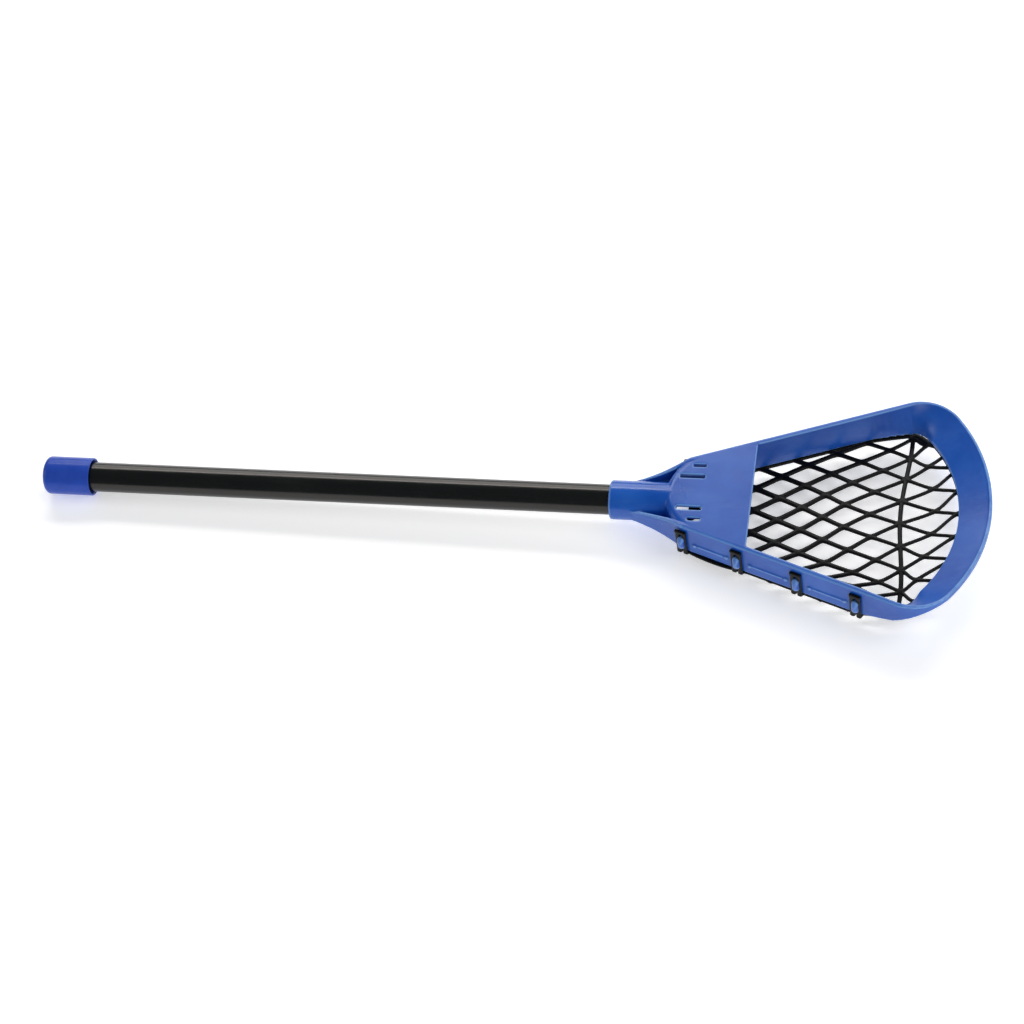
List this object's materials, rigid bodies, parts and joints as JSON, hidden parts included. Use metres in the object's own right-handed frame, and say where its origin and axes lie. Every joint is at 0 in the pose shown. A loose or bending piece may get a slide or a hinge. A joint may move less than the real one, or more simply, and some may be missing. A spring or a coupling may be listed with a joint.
{
  "type": "lacrosse stick",
  "caption": "Youth lacrosse stick: round tube shaft with a push-on end cap and a one-piece scoop head strung with a moulded net.",
  "frame": {"origin": "centre of the end cap's flat butt face, on the shaft's axis", "axes": "+X along the shaft from the butt to the tip of the scoop, +Z out of the open face of the head, Y across the head"},
  "size_m": [0.805, 0.2056, 0.0371],
  "materials": {
    "shaft_black": "aluminium tube, satin black coating",
    "cap_blue": "soft glossy dark blue vinyl",
    "head_blue": "satin blue moulded plastic",
    "screw_steel": "zinc plated",
    "net_black": "satin black moulded plastic net"
  },
  "bodies": {
    "stick": {"shaft_tube": "shaft_black", "head_frame": "head_blue", "head_screw": "screw_steel", "pocket_net": "net_black"},
    "cap": {"end_cap": "cap_blue"}
  },
  "joints": [
    {"name": "cap_pull", "type": "slide", "parent": "stick", "child": "cap", "axis": [-1, 0, 0], "range_m": [0, 0.06]}
  ]
}
